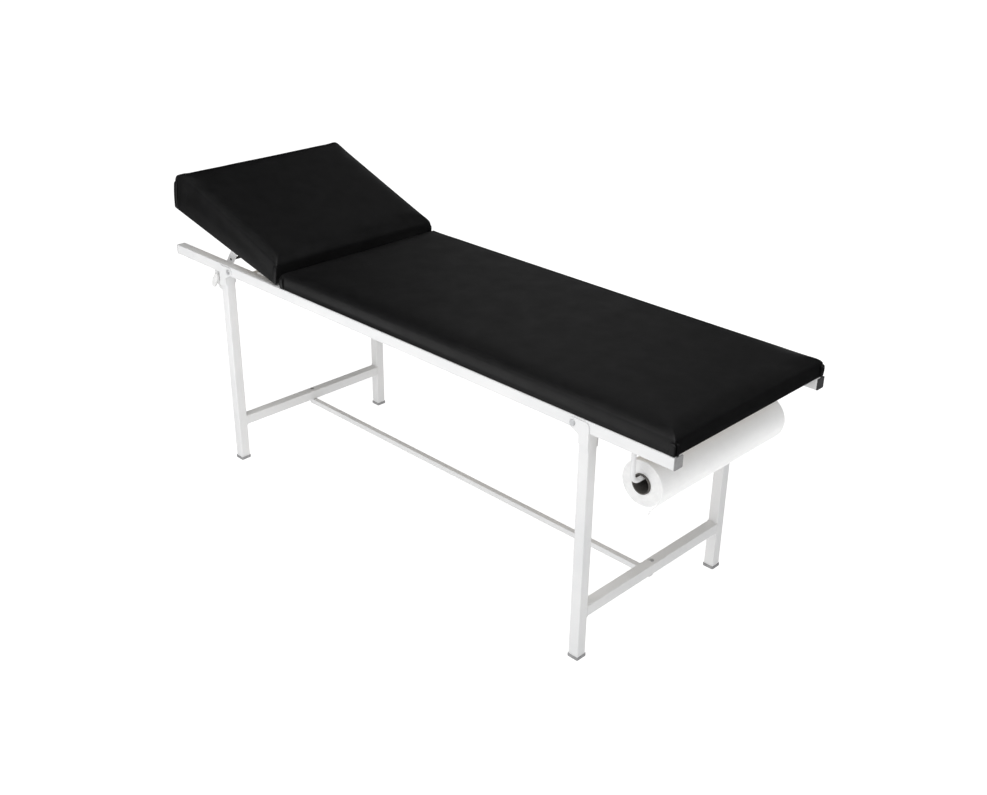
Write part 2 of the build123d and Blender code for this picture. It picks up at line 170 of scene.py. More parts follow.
class Shader:
    """A Principled material with short calls for the nodes that feed it."""

    def __init__(self, name, roughness=0.5, metallic=0.0):
        self.material = bpy.data.materials.new(name)
        self.material.use_nodes = True
        self.tree = self.material.node_tree
        self.surface = self.tree.nodes["Principled BSDF"]
        self.surface.inputs["Roughness"].default_value = roughness
        self.surface.inputs["Metallic"].default_value = metallic
        self.place = self.tree.nodes.new("ShaderNodeTexCoord").outputs["Object"]
        self.normal = None

    def scaled(self, x, y, z):
        """The object's coordinates, stretched for streaks and folds."""
        node = self.tree.nodes.new("ShaderNodeMapping")
        node.inputs["Scale"].default_value = (x, y, z)
        self.tree.links.new(self.place, node.inputs["Vector"])
        return node.outputs["Vector"]

    def noise(self, scale, detail=3.0, roughness=0.5, place=None, distortion=0.0):
        node = self.tree.nodes.new("ShaderNodeTexNoise")
        node.inputs["Scale"].default_value = scale
        node.inputs["Detail"].default_value = detail
        node.inputs["Roughness"].default_value = roughness
        node.inputs["Distortion"].default_value = distortion
        self.tree.links.new(place or self.place, node.inputs["Vector"])
        return node.outputs["Fac"]

    def cells(self, scale, feature="DISTANCE_TO_EDGE", place=None):
        node = self.tree.nodes.new("ShaderNodeTexVoronoi")
        node.feature = feature
        node.inputs["Scale"].default_value = scale
        self.tree.links.new(place or self.place, node.inputs["Vector"])
        return node.outputs["Distance"]

    def wave(self, scale, axis, distortion=0.0, place=None):
        node = self.tree.nodes.new("ShaderNodeTexWave")
        node.bands_direction = axis
        node.inputs["Scale"].default_value = scale
        node.inputs["Distortion"].default_value = distortion
        self.tree.links.new(place or self.place, node.inputs["Vector"])
        return node.outputs["Fac"]

    def ranged(self, value, low, high, from_low=0.0, from_high=1.0):
        """A value stretched from one range onto another."""
        node = self.tree.nodes.new("ShaderNodeMapRange")
        node.inputs["From Min"].default_value = from_low
        node.inputs["From Max"].default_value = from_high
        node.inputs["To Min"].default_value = low
        node.inputs["To Max"].default_value = high
        self.tree.links.new(value, node.inputs["Value"])
        return node.outputs["Result"]

    def math(self, kind, first, second):
        node = self.tree.nodes.new("ShaderNodeMath")
        node.operation = kind
        for socket, value in zip(node.inputs, (first, second)):
            if isinstance(value, float):
                socket.default_value = value
            else:
                self.tree.links.new(value, socket)
        return node.outputs["Value"]

    def colour(self, factor, stops):
        """A colour ramp, given as (position, colour) pairs, into the base colour."""
        node = self.tree.nodes.new("ShaderNodeValToRGB")
        ramp = node.color_ramp
        while len(ramp.elements) < len(stops):
            ramp.elements.new(0.5)
        for element, (position, colour) in zip(ramp.elements, stops):
            element.position = position
            element.color = (*colour, 1)
        self.tree.links.new(factor, node.inputs["Fac"])
        self.tree.links.new(node.outputs["Color"], self.surface.inputs["Base Color"])

    def rough(self, value):
        self.tree.links.new(value, self.surface.inputs["Roughness"])

    def bump(self, height, strength, distance):
        """Adds one more layer of relief, distance being its depth in metres."""
        node = self.tree.nodes.new("ShaderNodeBump")
        node.inputs["Strength"].default_value = strength
        node.inputs["Distance"].default_value = distance
        self.tree.links.new(height, node.inputs["Height"])
        if self.normal is not None:
            self.tree.links.new(self.normal, node.inputs["Normal"])
        self.normal = node.outputs["Normal"]
        self.tree.links.new(self.normal, self.surface.inputs["Normal"])


def grey(level):
    return (level, level, level)


# --- Materials -----------------------------------------------------------------------------------

def powder_coat():
    """White powder coat: a fine orange peel, a slightly uneven gloss and faint handling marks."""
    paint = Shader("powder_coat")
    cloud = paint.noise(9, detail=4)
    paint.colour(cloud, ((0.3, (0.745, 0.75, 0.755)), (0.7, (0.795, 0.795, 0.795))))
    smear = paint.noise(60, detail=5, roughness=0.65)
    paint.rough(paint.ranged(smear, 0.30, 0.48, 0.3, 0.7))
    paint.bump(paint.noise(700, detail=2), 0.22, 0.12 * MM)
    paint.bump(paint.noise(120, detail=2), 0.10, 0.3 * MM)
    paint.surface.inputs["Coat Weight"].default_value = 0.12
    paint.surface.inputs["Coat Roughness"].default_value = 0.25
    return paint.material


def black_leather():
    """Black artificial leather: pebble grain, finer pores and soft changes of sheen."""
    hide = Shader("black_artificial_leather")
    mottle = hide.noise(30, detail=5, roughness=0.6)
    hide.colour(mottle, ((0.32, (0.0050, 0.0050, 0.0053)), (0.68, (0.0078, 0.0078, 0.0082))))
    grain = hide.cells(620)
    grain = hide.ranged(grain, 0.0, 1.0, 0.0, 0.30)
    pores = hide.noise(1500, detail=3)
    sheen = hide.noise(14, detail=4, roughness=0.6)
    hide.rough(hide.math("ADD", hide.ranged(sheen, 0.40, 0.48, 0.3, 0.7), hide.ranged(grain, 0.06, 0.0)))
    hide.bump(grain, 0.34, 0.14 * MM)
    hide.bump(pores, 0.16, 0.06 * MM)
    hide.bump(hide.noise(45, detail=3, distortion=0.6), 0.16, 0.9 * MM)
    hide.surface.inputs["Specular IOR Level"].default_value = 0.42
    return hide.material


def plywood():
    """Pale plywood: long grain streaks with darker figure, pores and a dry surface."""
    wood = Shader("plywood")
    long_way = wood.scaled(1.2, 22, 22)
    figure = wood.noise(3.2, detail=7, roughness=0.62, place=long_way, distortion=1.4)
    wood.colour(figure, ((0.28, (0.30, 0.25, 0.19)), (0.5, (0.42, 0.37, 0.30)), (0.74, (0.52, 0.47, 0.40))))
    fibres = wood.noise(48, detail=4, place=long_way)
    wood.rough(wood.ranged(fibres, 0.58, 0.80))
    wood.bump(fibres, 0.35, 0.25 * MM)
    return wood.material


def moulded_plastic(name, dark, light, roughness):
    """Moulded plastic: a fine spark-eroded texture and slight flow marks."""
    plastic = Shader(name)
    flow = plastic.noise(55, detail=3, distortion=0.8)
    plastic.colour(flow, ((0.3, dark), (0.7, light)))
    plastic.rough(plastic.ranged(plastic.noise(240, detail=3), roughness - 0.06, roughness + 0.08))
    plastic.bump(plastic.noise(1600, detail=2), 0.25, 0.08 * MM)
    return plastic.material


def zinc_steel():
    """Zinc-plated steel: a bluish bright coat with a fine drawn texture and cloudy spots."""
    steel = Shader("zinc_steel", metallic=0.6)
    cloud = steel.noise(90, detail=4)
    steel.colour(cloud, ((0.3, (0.56, 0.57, 0.585)), (0.7, (0.70, 0.705, 0.71))))
    drawn = steel.noise(300, detail=3, place=steel.scaled(0.15, 1, 1))
    steel.rough(steel.ranged(drawn, 0.24, 0.42))
    steel.bump(drawn, 0.18, 0.06 * MM)
    return steel.material


def black_steel():
    """A near-black steel rod with a dull, slightly worn surface."""
    steel = Shader("black_steel", metallic=0.6)
    cloud = steel.noise(130, detail=4)
    steel.colour(cloud, ((0.35, grey(0.012)), (0.75, grey(0.04))))
    steel.rough(steel.ranged(cloud, 0.38, 0.58))
    steel.bump(steel.noise(900, detail=2), 0.2, 0.06 * MM)
    return steel.material


def cardboard():
    """Grey-brown cardboard: pressed fibres, flecks and the seam of its spiral winding."""
    board = Shader("cardboard")
    fibres = board.noise(420, detail=6, roughness=0.7)
    board.colour(fibres, ((0.3, (0.075, 0.070, 0.065)),
                          (0.55, (0.115, 0.108, 0.10)),
                          (0.8, (0.17, 0.16, 0.15))))
    board.rough(board.ranged(fibres, 0.82, 0.96))
    winding = board.wave(7.5, "Y", distortion=0.4)
    board.bump(board.ranged(winding, 0.0, 1.0, 0.0, 0.12), 0.4, 0.3 * MM)
    board.bump(fibres, 0.4, 0.15 * MM)
    return board.material


def soft_paper(name, quilt_depth):
    """White crepe paper: a quilted emboss, fine cross wrinkles and soft fibres."""
    paper = Shader(name)
    cloud = paper.noise(40, detail=4)
    paper.colour(cloud, ((0.3, (0.93, 0.93, 0.93)), (0.7, (0.97, 0.97, 0.965))))
    paper.rough(paper.ranged(cloud, 0.84, 0.96))
    quilt = paper.cells(150, feature="SMOOTH_F1")
    paper.bump(quilt, 0.55, quilt_depth)
    crepe = paper.noise(260, detail=4, place=paper.scaled(1, 0.18, 1))
    paper.bump(crepe, 0.4, 0.25 * MM)
    paper.bump(paper.noise(1400, detail=2), 0.25, 0.08 * MM)
    paper.surface.inputs["Sheen Weight"].default_value = 0.15
    return paper.material


def paper_edges():
    """The cut edges of the wound paper: many thin layers seen end on."""
    paper = Shader("paper_edges")
    cloud = paper.noise(70, detail=5)
    paper.colour(cloud, ((0.3, (0.80, 0.80, 0.80)), (0.7, (0.88, 0.88, 0.875))))
    paper.rough(paper.ranged(cloud, 0.88, 0.98))
    paper.bump(paper.noise(900, detail=4), 0.5, 0.2 * MM)
    return paper.material


def pale_floor():
    """A plain pale studio floor, lit a little from within so that it stays even."""
    floor = Shader("pale_floor")
    cloud = floor.noise(0.8, detail=2)
    floor.colour(cloud, ((0.3, grey(0.24)), (0.7, grey(0.27))))
    floor.rough(floor.ranged(cloud, 0.75, 0.85))
    floor.surface.inputs["Emission Color"].default_value = (1, 1, 1, 1)
    floor.surface.inputs["Emission Strength"].default_value = FLOOR_GLOW
    return floor.material


MID_GREY = ((0.28, 0.28, 0.285), (0.36, 0.36, 0.365))
DARK_GREY = ((0.045, 0.045, 0.047), (0.065, 0.065, 0.067))
WHITE = ((0.74, 0.74, 0.735), (0.80, 0.80, 0.795))

LOOKS = {
    "paint": powder_coat(),
    "leather": black_leather(),
    "plywood": plywood(),
    "dark plastic": moulded_plastic("mid_grey_plastic", *MID_GREY, 0.5),
    "far cap dark grey": moulded_plastic("dark_grey_plastic", *DARK_GREY, 0.5),
    "white plastic": moulded_plastic("white_plastic", *WHITE, 0.42),
    "zinc": zinc_steel(),
    "black steel": black_steel(),
    "cardboard": cardboard(),
    "paper": soft_paper("soft_paper", 0.5 * MM),
    "paper edges": paper_edges(),
}

NODE_LOOKS = (
    # The far foot-end rail cap is given a much darker grey than the other rail caps.
    ("rail_cap_foot_far", "far cap dark grey"),
    ("rail_cap", "dark plastic"),
    ("foot_cap", "dark plastic"),
    ("wing_knob", "white plastic"),
    ("hinge_", "zinc"),
    ("clamp_stud", "zinc"),
    ("stretcher_bolt", "zinc"),
    ("pivot_bolt", "zinc"),
    ("strut_rod", "black steel"),
    ("roll_core", "cardboard"),
    ("mattress_board", "plywood"),
    ("headrest_board", "plywood"),
)


def dress_cad_nodes():
    """Gives every carried-over CAD node its detailed material."""
    for name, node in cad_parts.items():
        look = next((look for start, look in NODE_LOOKS if name.startswith(start)), "paint")
        for material_slot in node.material_slots:
            material_slot.material = LOOKS[look]


# --- Mesh helpers --------------------------------------------------------------------------------

def add_mesh(name, vertices, faces, material, body, smooth=True):
    """A new piece, riding on a body."""
    mesh = bpy.data.meshes.new(name)
    mesh.from_pydata([tuple(v) for v in vertices], [], faces)
    mesh.validate()
    tidy = bmesh.new()
    tidy.from_mesh(mesh)
    bmesh.ops.recalc_face_normals(tidy, faces=tidy.faces)
    tidy.to_mesh(mesh)
    tidy.free()
    mesh.materials.append(material)
    for polygon in mesh.polygons:
        polygon.use_smooth = smooth
    piece = bpy.data.objects.new(name, mesh)
    bpy.context.scene.collection.objects.link(piece)
    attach(piece, body)
    return piece


class Shape:
    """Collects the vertices and faces of one piece made of many small forms."""

    def __init__(self):
        self.vertices = []
        self.faces = []

    def add(self, vertices, faces):
        start = len(self.vertices)
        self.vertices += [Vector(v) for v in vertices]
        self.faces += [tuple(start + i for i in face) for face in faces]

    def tube(self, points, radius, sides=8, closed=False, wobble=0.0):
        """A round bar along a line of points, capped unless it closes on itself."""
        points = [Vector(p) for p in points]
        count = len(points)
        rings = []
        across = None
        for i, point in enumerate(points):
            before = points[i - 1] if (i or closed) else point
            after = points[(i + 1) % count] if (i < count - 1 or closed) else point
            along = (after - before).normalized()
            if across is None:
                across = along.orthogonal().normalized()
            across = (across - along * across.dot(along)).normalized()
            other = along.cross(across)
            size = radius * (1 + wobble * dice.uniform(-1, 1))
            rings.append([point + (across * math.cos(turn) + other * math.sin(turn)) * size
                          for turn in (2 * math.pi * s / sides for s in range(sides))])
        faces = []
        for i in range(count if closed else count - 1):
            j = (i + 1) % count
            for s in range(sides):
                t = (s + 1) % sides
                faces.append((i * sides + s, i * sides + t, j * sides + t, j * sides + s))
        if not closed:
            faces.append(tuple(range(sides)))
            faces.append(tuple((count - 1) * sides + s for s in range(sides)))
        self.add([v for ring in rings for v in ring], faces)

    def piece(self, name, look, body, slot):
        return add_mesh(name, self.vertices, self.faces, LOOKS[look], body)


def tilted(point):
    """A point of the flat headrest, measured from its hinge line, at the tilt it has at rest."""
    pin_low, pin_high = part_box("hinge_pin_near")
    hinge_x = (pin_low[0] + pin_high[0]) / 2
    hinge_z = (pin_low[2] + pin_high[2]) / 2
    turn = Matrix.Rotation(HEADREST_TILT, 3, "Y")
    return Vector((hinge_x, 0, hinge_z)) + turn @ Vector(point)


# --- Cushions ------------------------------------------------------------------------------------

CORNER_BLEND = 6
SLACK = 0.9 * MM
SLACK_SIZE = 0.16
BELLY = 1.2 * MM
CELL = 15 * MM
EDGE_CELLS = 6
SIDE_CELLS = 6
COVER_MARGIN = 1.5 * MM
CLOTH_CAP = 3.0 * MM
CLOTH_FRAMES = 20


class Cushion:
    """The measures of one upholstered block, in its own flat frame: x 0 at the foot-end face."""

    def __init__(self, length, width, heights, sides, foot_end, head_end, crown, pinch, seed, outer_end):
        self.length = length
        self.width = width
        self.foot_height, self.head_height = heights
        self.sides = sides
        self.foot_end = foot_end
        self.head_end = head_end
        self.crown = crown
        self.pinch = pinch
        self.seed = seed
        self.outer_end = outer_end

    def height(self, along):
        return self.foot_height + (self.head_height - self.foot_height) * along

    @staticmethod
    def turned_down(rounding, distance):
        """How far the cover has dropped at a distance from the rim, on a (width, drop) ellipse."""
        width, drop = rounding
        inward = 1 - min(1, max(0, distance / width))
        return drop * (1 - math.sqrt(max(0, 1 - inward ** 2)))

    def top(self, x, y):
        along = x / self.length
        across = 2 * y / self.width
        drops = (
            self.turned_down(self.foot_end, x),
            self.turned_down(self.head_end, self.length - x),
            self.turned_down(self.sides, self.width / 2 - abs(y)),
        )
        drop = sum(one ** CORNER_BLEND for one in drops) ** (1 / CORNER_BLEND)
        swell = self.crown * (1 - (2 * along - 1) ** 2) * (1 - across ** 2)
        slack = SLACK * noise.noise(Vector((x, y, self.seed)) / SLACK_SIZE)
        return self.height(along) - drop + swell + slack * (1 - across ** 4)

    def pulled(self, x, y, rise):
        """The sides pull in between the corners, and belly out a little at half height."""
        along = 2 * x / self.length - 1
        across = 2 * y / self.width
        firm = math.sin(math.pi / 2 * min(1, 2.5 * rise))
        belly = BELLY * math.sin(math.pi * rise)
        x_shift = (belly - self.pinch * (1 - across ** 4) * firm) * math.copysign(abs(along) ** 10, along)
        y_shift = (belly - self.pinch * (1 - along ** 4) * firm) * math.copysign(abs(across) ** 10, across)
        return x + x_shift, y + y_shift


def edge_fine(length, start_edge, end_edge):
    """Positions from 0 to length, close together where the cover turns down at each end."""
    turns = [1 - math.cos(math.pi / 2 * i / EDGE_CELLS) for i in range(EDGE_CELLS)]
    flat = length - start_edge - end_edge
    cells = round(flat / CELL)
    middle = [start_edge + flat * i / cells for i in range(cells + 1)]
    return [start_edge * t for t in turns] + middle + [length - end_edge * t for t in reversed(turns)]


def cushion_surface(pad):
    """Vertices, faces and each vertex's share of the height, for a closed cushion."""
    xs = edge_fine(pad.length, pad.foot_end[0], pad.head_end[0])
    ys = [y - pad.width / 2 for y in edge_fine(pad.width, pad.sides[0], pad.sides[0])]
    index = {}
    vertices = []
    rises = []
    for i, x in enumerate(xs):
        for j, y in enumerate(ys):
            for k in range(SIDE_CELLS + 1):
                inside = 0 < i < len(xs) - 1 and 0 < j < len(ys) - 1
                if inside and 0 < k < SIDE_CELLS:
                    continue
                rise = k / SIDE_CELLS
                moved_x, moved_y = pad.pulled(x, y, rise)
                index[i, j, k] = len(vertices)
                vertices.append(Vector((moved_x, moved_y, pad.top(x, y) * rise)))
                rises.append(rise)
    faces = []
    for i in range(len(xs) - 1):
        for j in range(len(ys) - 1):
            for k in (0, SIDE_CELLS):
                square = (i, j, k), (i + 1, j, k), (i + 1, j + 1, k), (i, j + 1, k)
                faces.append(tuple(index[corner] for corner in square))
    for k in range(SIDE_CELLS):
        for i in range(len(xs) - 1):
            for j in (0, len(ys) - 1):
                square = (i, j, k), (i + 1, j, k), (i + 1, j, k + 1), (i, j, k + 1)
                faces.append(tuple(index[corner] for corner in square))
        for j in range(len(ys) - 1):
            for i in (0, len(xs) - 1):
                square = (i, j, k), (i, j + 1, k), (i, j + 1, k + 1), (i, j, k + 1)
                faces.append(tuple(index[corner] for corner in square))
    return vertices, faces, rises


def inflate(cushion, rises):
    """Blows the cover out with Cloth, its underside held, and keeps each point near its start."""
    start = [vertex.co.copy() for vertex in cushion.data.vertices]
    group = cushion.vertex_groups.new(name="held")
    for i, rise in enumerate(rises):
        group.add([i], 1.0 if rise == 0 else 0.0, "REPLACE")
    cloth = cushion.modifiers.new("cloth", "CLOTH")
    cloth.settings.quality = 5
    cloth.settings.mass = 0.3
    cloth.settings.tension_stiffness = 40
    cloth.settings.compression_stiffness = 20
    cloth.settings.shear_stiffness = 12
    cloth.settings.bending_stiffness = 3
    cloth.settings.use_pressure = True
    cloth.settings.uniform_pressure_force = 4
    cloth.settings.vertex_group_mass = "held"
    cloth.settings.effector_weights.gravity = 0
    cloth.point_cache.frame_start = 1
    cloth.point_cache.frame_end = CLOTH_FRAMES
    for step in range(1, CLOTH_FRAMES + 1):
        bpy.context.scene.frame_set(step)
    blown = cushion.evaluated_get(bpy.context.evaluated_depsgraph_get())
    moved = [vertex.co.copy() for vertex in blown.data.vertices]
    cushion.modifiers.remove(cloth)
    cushion.vertex_groups.remove(group)
    for vertex, before, after in zip(cushion.data.vertices, start, moved):
        shift = after - before
        if shift.length > 0:
            shift *= CLOTH_CAP * math.tanh(shift.length / CLOTH_CAP) / shift.length
        vertex.co = before + shift
    bpy.context.scene.frame_set(1)


def subdivide(piece):
    """Applies one level of subdivision."""
    modifier = piece.modifiers.new("smooth", "SUBSURF")
    modifier.levels = 1
    modifier.render_levels = 1
    mesh = bpy.data.meshes.new_from_object(piece.evaluated_get(bpy.context.evaluated_depsgraph_get()))
    piece.modifiers.remove(modifier)
    piece.data = mesh
    for polygon in mesh.polygons:
        polygon.use_smooth = True


def make_cushion(name, node, body, pad, placed):
    """Builds, inflates and places one cushion, which stands for its CAD solid."""
    vertices, faces, rises = cushion_surface(pad)
    cushion = add_mesh(name, vertices, faces, LOOKS["leather"], body)
    inflate(cushion, rises)
    for vertex in cushion.data.vertices:
        vertex.co = placed(vertex.co)
    subdivide(cushion)
    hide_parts(node)
    return cushion


mattress_low, mattress_high = (Vector(v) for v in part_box("mattress"))
COVER_INSET = COVER_MARGIN + BELLY

MATTRESS = Cushion(
    length=mattress_high.x - mattress_low.x - 2 * COVER_INSET,
    width=mattress_high.y - mattress_low.y - 2 * COVER_INSET,
    heights=(mattress_high.z - mattress_low.z, mattress_high.z - mattress_low.z),
    sides=(28 * MM, 14 * MM), foot_end=(28 * MM, 14 * MM), head_end=(22 * MM, 12 * MM),
    crown=2.0 * MM, pinch=3.0 * MM, seed=2, outer_end="foot")


def mattress_place(v):
    """The mattress lies on the rails. Its flat frame starts at the foot end and runs towards the head."""
    return Vector((mattress_high.x - COVER_INSET - v.x, v.y, mattress_low.z + v.z))


HEADREST_GAP = 8 * MM
HEADREST_UNDER = 5.3 * MM
HEADREST_UNDERCUT = 4 * MM
HEADREST_FLARE = 5 * MM
HEADREST = Cushion(
    length=520 * MM - 2 * COVER_INSET,
    width=mattress_high.y - mattress_low.y - 2 * COVER_INSET,
    heights=(72 * MM, 133 * MM),
    sides=(26 * MM, 14 * MM), foot_end=(30 * MM, 17 * MM), head_end=(70 * MM, 36 * MM),
    crown=2.0 * MM, pinch=2.5 * MM, seed=5, outer_end="head")


def headrest_place(v):
    """The headrest leans on its board. Its cover swells sideways a little towards the thick head end."""
    along = v.x / HEADREST.length
    rise = v.z / HEADREST.height(along)
    flare = 1 + HEADREST_FLARE / (HEADREST.width / 2) * along * rise
    x = -HEADREST_GAP - COVER_INSET - v.x - HEADREST_UNDERCUT * rise
    return tilted((x, v.y * flare, HEADREST_UNDER + v.z))


FOLD_STEPS = 14
FOLD_MARGIN = 1 * MM
FOLD_ROUND = 0.16
FOLD_TIP = 0.12

# Outlines of the fold's two layers in millimetres: outward from the end face, outward from the side face.
FOLD_TUCK = (
    (-15, -1.5),
    (-15, 0.2),
    (-12, 1.5),
    (-3, 1.7),
    (0.4, 1.2),
    (1.8, -0.2),
    (1.9, -1.6),
    (-2, -3.5),
)
FOLD_PLEAT = (
    (-3, -6.0),
    (1.5, -5.6),
    (4.0, -6.0),
    (4.8, -7.5),
    (4.6, -10.5),
    (3.2, -13.5),
    (-3, -14.5),
)


def fold_lobe(shape, pad, placed, corner, outward, sign, outline):
    """One layer of a folded corner: an upright strip whose top end rounds off towards its root."""
    x, y = corner
    low = FOLD_MARGIN
    high = pad.top(x, y) - FOLD_MARGIN
    root_out, root_across = outline[0]
    count = len(outline)
    rows = []
    for i in range(FOLD_STEPS + 1):
        rise = i / FOLD_STEPS
        over = max(0, (rise - (1 - FOLD_ROUND)) / FOLD_ROUND)
        narrow = FOLD_TIP + (1 - FOLD_TIP) * math.sqrt(max(0, 1 - over ** 2))
        moved_x, moved_y = pad.pulled(x, y, rise)
        z = low + (high - low) * rise
        row = []
        for out, across in outline:
            out = (root_out + (out - root_out) * narrow) * MM
            across = (root_across + (across - root_across) * narrow) * MM
            row.append(placed(Vector((moved_x + outward * out, moved_y + sign * across, z))))
        rows.append(row)
    faces = [tuple(range(count)), tuple(FOLD_STEPS * count + c for c in range(count))]
    for i in range(FOLD_STEPS):
        for c in range(count):
            d = (c + 1) % count
            faces.append((i * count + c, i * count + d, (i + 1) * count + d, (i + 1) * count + c))
    shape.add([v for row in rows for v in row], faces)


def corner_fold(shape, pad, placed, end, sign):
    """The side band's end tucked round a corner, and the pleat of the end band beside it."""
    corner = (0 if end == "foot" else pad.length, sign * pad.width / 2)
    outward = -1 if end == "foot" else 1
    fold_lobe(shape, pad, placed, corner, outward, sign, FOLD_TUCK)
    if end == pad.outer_end:
        fold_lobe(shape, pad, placed, corner, outward, sign, FOLD_PLEAT)


def make_folds(name, body, pad, placed):
    shape = Shape()
    for end in ("head", "foot"):
        for _, sign in SIDES:
            corner_fold(shape, pad, placed, end, sign)
    fold = shape.piece(name, "leather", body, "black_upholstery")
    subdivide(fold)


def make_cushions():
    make_cushion("mattress_pad", "mattress", "table", MATTRESS, mattress_place)
    make_cushion("headrest_pad", "headrest_cushion", "headrest", HEADREST, headrest_place)
    make_folds("mattress_corner_folds", "table", MATTRESS, mattress_place)
    make_folds("headrest_corner_folds", "headrest", HEADREST, headrest_place)


# --- Paper roll ----------------------------------------------------------------------------------

roll_low, roll_high = (Vector(v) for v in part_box("paper_roll"))
ROLL_CENTRE = (roll_low + roll_high) / 2
ROLL_RADIUS = (roll_high.z - roll_low.z) / 2
ROLL_HALF = (roll_high.y - roll_low.y) / 2
core_low, core_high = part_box("roll_core")
CORE_RADIUS = (core_high[2] - core_low[2]) / 2
ROLL_SEGMENTS = 144
END_LAYERS = 28
WRAP_RINGS = 64
WRAP_RADIUS = ROLL_RADIUS - 0.6 * MM
LAYER_SLIP = 0.45 * MM
RIM_SOFTNESS = 1.4 * MM
RIM_START = 0.93


def roll_point(radius, turn, y):
    return ROLL_CENTRE + Vector((radius * math.cos(turn), y, radius * math.sin(turn)))


def end_rings(end):
    """Radius and place of each ring on an end face, where the wound layers have slipped a little."""
    inner = CORE_RADIUS + 0.1 * MM
    rings = []
    for layer in range(END_LAYERS + 1):
        share = layer / END_LAYERS
        slip = LAYER_SLIP * (math.sin(layer * 2.4) + dice.uniform(-0.8, 0.8))
        rim = RIM_SOFTNESS * max(0, share - RIM_START) / (1 - RIM_START)
        rings.append((inner + (WRAP_RADIUS - inner) * share, end * (ROLL_HALF - 1.2 * MM + slip - rim)))
    return rings


def make_paper_wound():
    """The wound paper: a slightly uneven outer wrap and end faces of loose, uneven layers."""
    reach = ROLL_HALF - 4 * MM
    wrap = [(WRAP_RADIUS + 0.3 * MM, -reach + 2 * reach * i / WRAP_RINGS) for i in range(WRAP_RINGS + 1)]
    profile = end_rings(-1) + wrap + end_rings(1)[::-1]
    vertices = []
    for radius, y in profile:
        for s in range(ROLL_SEGMENTS):
            turn = 2 * math.pi * s / ROLL_SEGMENTS
            around = Vector((math.cos(turn), y * 6, math.sin(turn)))
            swell = 0.4 * MM * noise.noise(around * 1.6) * min(1, radius / WRAP_RADIUS) ** 8
            vertices.append(roll_point(radius + swell, turn, y))
    faces = []
    for row in range(len(profile)):
        after = (row + 1) % len(profile)
        for s in range(ROLL_SEGMENTS):
            t = (s + 1) % ROLL_SEGMENTS
            faces.append((row * ROLL_SEGMENTS + s, row * ROLL_SEGMENTS + t,
                          after * ROLL_SEGMENTS + t, after * ROLL_SEGMENTS + s))
    roll = add_mesh("paper_wound", vertices, faces, LOOKS["paper"], "roll")
    roll.data.materials.append(LOOKS["paper edges"])
    for polygon in roll.data.polygons:
        if abs(polygon.normal.y) > 0.6:
            polygon.material_index = 1
    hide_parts("paper_roll")


TAIL_START = math.radians(-24)
TAIL_LEAVES = math.radians(-33)
TAIL_SHORT = 14 * MM
TAIL_CORNER = 38 * MM
TAIL_TEAR_REACH = 30 * MM
TAIL_SUNK = 0.5 * MM
TAIL_LIFTED = 0.4 * MM
TAIL_CURL = 5 * MM
TAIL_LIP = 11 * MM
TAIL_LIP_START = 0.62
TAIL_LIP_SHORTENS = 3 * MM
TAIL_THICKNESS = 0.4 * MM
TAIL_ROWS = 30
TAIL_COLUMNS = 80
TAIL_CROWDING = 1.6
TAIL_RIPPLE = 2.5 * MM
TAIL_RIPPLES = 9
TAIL_NEARBY = 0.01


def tail_free_length(y):
    """How much paper hangs free: it is torn askew, so that its near corner hangs lowest."""
    return TAIL_SHORT + TAIL_CORNER * math.exp(-(y + ROLL_HALF) / TAIL_TEAR_REACH)


def tail_line(share, y, ripple):
    """A point in the roll's plane: out from the last turn, straight off it, then over a turned-up lip."""
    arc = ROLL_RADIUS * (TAIL_START - TAIL_LEAVES)
    free_length = tail_free_length(y)
    along = share * (arc + free_length)
    emerged = min(1, along / arc)
    radius = ROLL_RADIUS - TAIL_SUNK + (TAIL_SUNK + TAIL_LIFTED) * emerged
    turn = TAIL_START + (TAIL_LEAVES - TAIL_START) * emerged
    outward = Vector((math.cos(turn), 0, math.sin(turn)))
    onward = Vector((math.sin(turn), 0, -math.cos(turn)))
    free = max(0, along - arc)
    lift = (free / (TAIL_SHORT + TAIL_CORNER)) ** 2
    lip = max(0, (free / (TAIL_SHORT + TAIL_CORNER) - TAIL_LIP_START) / (1 - TAIL_LIP_START)) ** 2
    out = (ripple - TAIL_CURL) * lift + TAIL_LIP * lip
    return outward * (radius + out) + onward * (free - TAIL_LIP_SHORTENS * lip)


